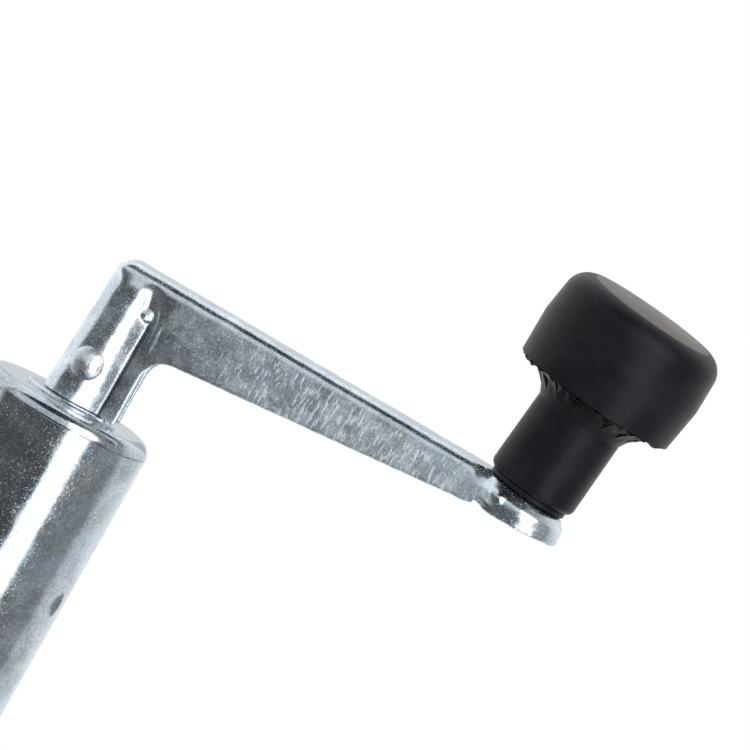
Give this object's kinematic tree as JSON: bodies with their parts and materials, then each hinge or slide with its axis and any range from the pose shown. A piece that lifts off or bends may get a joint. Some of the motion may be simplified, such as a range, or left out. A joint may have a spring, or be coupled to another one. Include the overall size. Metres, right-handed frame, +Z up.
{
  "type": "jockey wheel",
  "caption": "Trailer jockey wheel: clamp tube with a screw-wound telescopic leg, cranked handle with a turning knob, and a swivelling solid-tyred wheel.",
  "frame": {"origin": "on the clamp tube's axis, in the middle of the band where the trailer's clamp grips", "axes": "+Z up the clamp tube towards the crank handle, +X along the handle's arm at rest, Y along the wheel's axle at rest"},
  "size_m": [0.2791, 0.0922, 0.7037],
  "materials": {
    "zinc_tube": "bright zinc plate",
    "zinc_pressed": "bright zinc plate, lightly scratched",
    "zinc_fork": "bright zinc plate",
    "steel": "turned steel, oiled",
    "bearing_steel": "polished",
    "fastener": "zinc plate",
    "bronze": "sintered bronze, oiled",
    "black_plastic": "moulded, satin",
    "guide_plastic": "moulded nylon",
    "rubber": "solid black rubber"
  },
  "bodies": {
    "clamp_tube": {"outer_tube": "zinc_tube", "top_plate": "steel", "top_bush": "zinc_pressed", "thrust_race_upper": "bearing_steel", "steady_bush": "guide_plastic", "mouth_bush": "guide_plastic"},
    "crank": {"spindle": "steel", "stop_washer": "steel", "stop_pin": "steel", "thrust_race_lower": "bearing_steel", "thrust_balls": "bearing_steel", "thrust_cage": "steel", "handle": "zinc_pressed", "handle_rivet": "zinc_pressed", "knob_pin": "fastener", "knob_washer": "black_plastic"},
    "knob": {"knob_grip": "black_plastic", "knob_cap": "black_plastic"},
    "leg": {"inner_tube": "zinc_tube", "guide_ring": "guide_plastic", "spindle_nut": "bronze", "nut_pins": "steel", "kingpin": "steel", "swivel_race_upper": "bearing_steel", "swivel_balls": "bearing_steel", "swivel_cage": "steel", "kingpin_washer": "fastener", "kingpin_nut": "fastener"},
    "fork": {"fork": "zinc_fork", "swivel_race_lower": "bearing_steel", "axle_bolt": "fastener", "axle_nut": "fastener", "axle_washers": "fastener", "axle_spacers": "fastener"},
    "wheel": {"hub_tube": "steel", "hub_bushes": "bronze", "rim_front": "zinc_pressed", "rim_back": "zinc_pressed", "rim_bolts": "fastener", "rim_nuts": "fastener", "tyre": "rubber"}
  },
  "joints": [
    {"name": "crank_turn", "type": "hinge", "parent": "clamp_tube", "child": "crank", "pos_m": [0, 0, 0.17], "axis": [0, 0, -1], "range_deg": [0, 12960]},
    {"name": "knob_spin", "type": "hinge", "parent": "crank", "child": "knob", "pos_m": [0.112, 0, 0.20825], "axis": [0.0958, 0, 0.9954], "continuous": true},
    {"name": "leg_slide", "type": "slide", "parent": "clamp_tube", "child": "leg", "axis": [0, 0, -1], "range_m": [0, 0.2161]},
    {"name": "fork_swivel", "type": "hinge", "parent": "leg", "child": "fork", "pos_m": [0, 0, -0.2173], "axis": [0, 0, 1], "continuous": true},
    {"name": "wheel_roll", "type": "hinge", "parent": "fork", "child": "wheel", "pos_m": [-0.04, 0, -0.33905], "axis": [0, 1, 0], "continuous": true}
  ],
  "couplings": [
    {"joint": "leg_slide", "follows": "crank_turn", "m_per_rad": 0.00095493}
  ]
}
